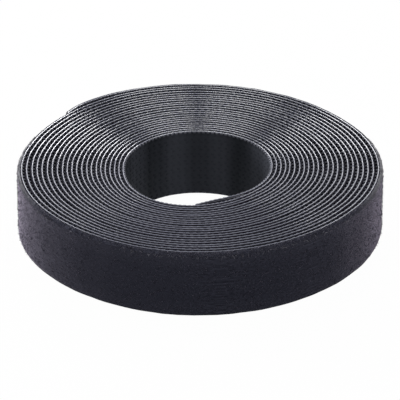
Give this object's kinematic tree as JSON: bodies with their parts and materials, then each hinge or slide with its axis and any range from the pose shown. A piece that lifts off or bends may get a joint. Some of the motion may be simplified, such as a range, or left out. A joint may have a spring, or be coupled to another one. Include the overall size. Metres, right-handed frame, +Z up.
{
  "type": "hook and loop tape roll",
  "caption": "Coreless roll of black back-to-back hook and loop tape, loop face out and hook face in, with a tail that peels off and an inner end that bends into the bore.",
  "frame": {"origin": "middle of the roll's box, on the surface that the roll lies on", "axes": "+Z up along the winding axis, across the tape's width; -Y towards the viewer, on the side of the tape's inner end"},
  "size_m": [0.1054, 0.1062, 0.02],
  "materials": {
    "loop_fabric": "brushed knitted loops, matt, very dark blue-grey",
    "hook_film": "moulded film with hooks, satin black"
  },
  "bodies": {
    "roll": {"wound_loop_web": "loop_fabric", "wound_hook_web": "hook_film"},
    "inner_end": {"inner_end_loop_web": "loop_fabric", "inner_end_hook_web": "hook_film"},
    "tail_1": {"tail_1_loop_web": "loop_fabric", "tail_1_hook_web": "hook_film"},
    "tail_2": {"tail_2_loop_web": "loop_fabric", "tail_2_hook_web": "hook_film"},
    "tail_3": {"tail_3_loop_web": "loop_fabric", "tail_3_hook_web": "hook_film"}
  },
  "joints": [
    {"name": "inner_end_bend", "type": "hinge", "parent": "roll", "child": "inner_end", "pos_m": [0.01213, -0.01716, 0.01], "axis": [0, 0, -1], "range_deg": [0, 50]},
    {"name": "tail_1_peel", "type": "hinge", "parent": "roll", "child": "tail_1", "pos_m": [0.00326, 0.05303, 0.01], "axis": [0, 0, -1], "range_deg": [0, 45]},
    {"name": "tail_2_peel", "type": "hinge", "parent": "tail_1", "child": "tail_2", "pos_m": [-0.01289, 0.0516, 0.01], "axis": [0, 0, -1], "range_deg": [0, 45]},
    {"name": "tail_3_peel", "type": "hinge", "parent": "tail_2", "child": "tail_3", "pos_m": [-0.02768, 0.04514, 0.01], "axis": [0, 0, -1], "range_deg": [0, 45]}
  ]
}
